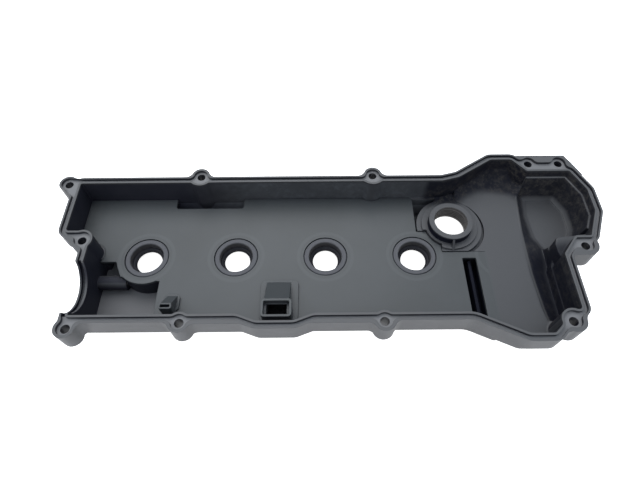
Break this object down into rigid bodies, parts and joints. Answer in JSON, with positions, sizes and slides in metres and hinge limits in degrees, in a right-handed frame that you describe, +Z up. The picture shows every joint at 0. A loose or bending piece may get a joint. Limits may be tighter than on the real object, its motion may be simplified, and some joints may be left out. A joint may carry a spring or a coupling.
{
  "type": "engine valve cover",
  "caption": "Long moulded cover with a grooved flange, bolt bosses, a baffle plate with drain snouts, round wells with seals, an oil filler neck and a stepped end bay.",
  "frame": {"origin": "axis of the first coil well, in the plane of the well mouths that the cover lies on", "axes": "+X along the engine to the timing end, +Y across it to the back, +Z up out of the open side"},
  "size_m": [0.5637, 0.2145, 0.057],
  "materials": {
    "cover_plastic": "moulded, slightly satin",
    "baffle_plastic": "smooth satin",
    "seal_rubber": "satin",
    "insert_brass": "turned"
  },
  "bodies": {
    "root": {"cover_shell": "cover_plastic", "oil_baffle": "baffle_plastic", "plug_seal_1": "seal_rubber", "plug_seal_2": "seal_rubber", "plug_seal_3": "seal_rubber", "plug_seal_4": "seal_rubber", "coil_insert_1": "insert_brass", "coil_insert_2": "insert_brass", "coil_insert_3": "insert_brass", "coil_insert_4": "insert_brass"}
  },
  "joints": []
}
